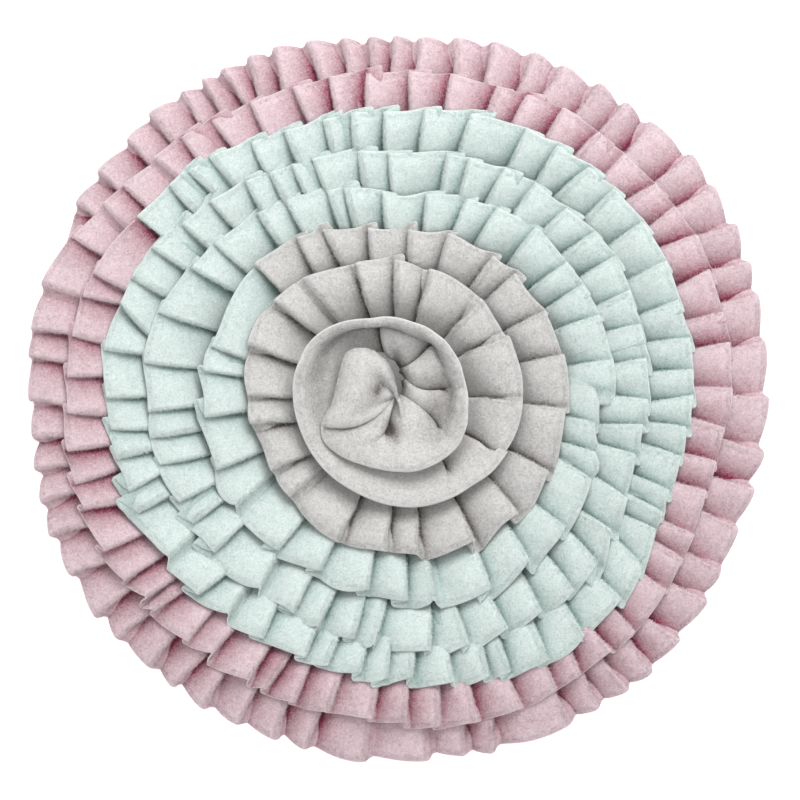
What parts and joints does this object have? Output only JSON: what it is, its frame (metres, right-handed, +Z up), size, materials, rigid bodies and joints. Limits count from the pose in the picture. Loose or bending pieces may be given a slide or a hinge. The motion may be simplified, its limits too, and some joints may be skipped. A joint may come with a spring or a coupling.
{
  "type": "snuffle mat",
  "caption": "Round snuffle mat: knife-pleated fleece strips sewn in a spiral on a round base cloth, ending in a small bowl of folds where treats are hidden.",
  "frame": {"origin": "centre of the underside of the round base cloth, on the surface that the mat lies on", "axes": "+Z up out of the ruffles; +Y towards the top of the mat as the picture shows it, +X towards its right"},
  "size_m": [0.3826, 0.3758, 0.039],
  "materials": {
    "base_cloth": "thick flat felted cloth, matte",
    "pink_fleece": "brushed fleece, soft short nap, pale dusty pink",
    "mint_fleece": "brushed fleece, soft short nap, very pale mint",
    "grey_fleece": "brushed fleece, soft short nap, light warm grey"
  },
  "bodies": {
    "root": {"base_cloth": "base_cloth", "pink_ruffle": "pink_fleece", "mint_ruffle": "mint_fleece", "mint_ruffle_inner": "mint_fleece", "grey_ruffle": "grey_fleece", "grey_rosette": "grey_fleece"}
  },
  "joints": []
}
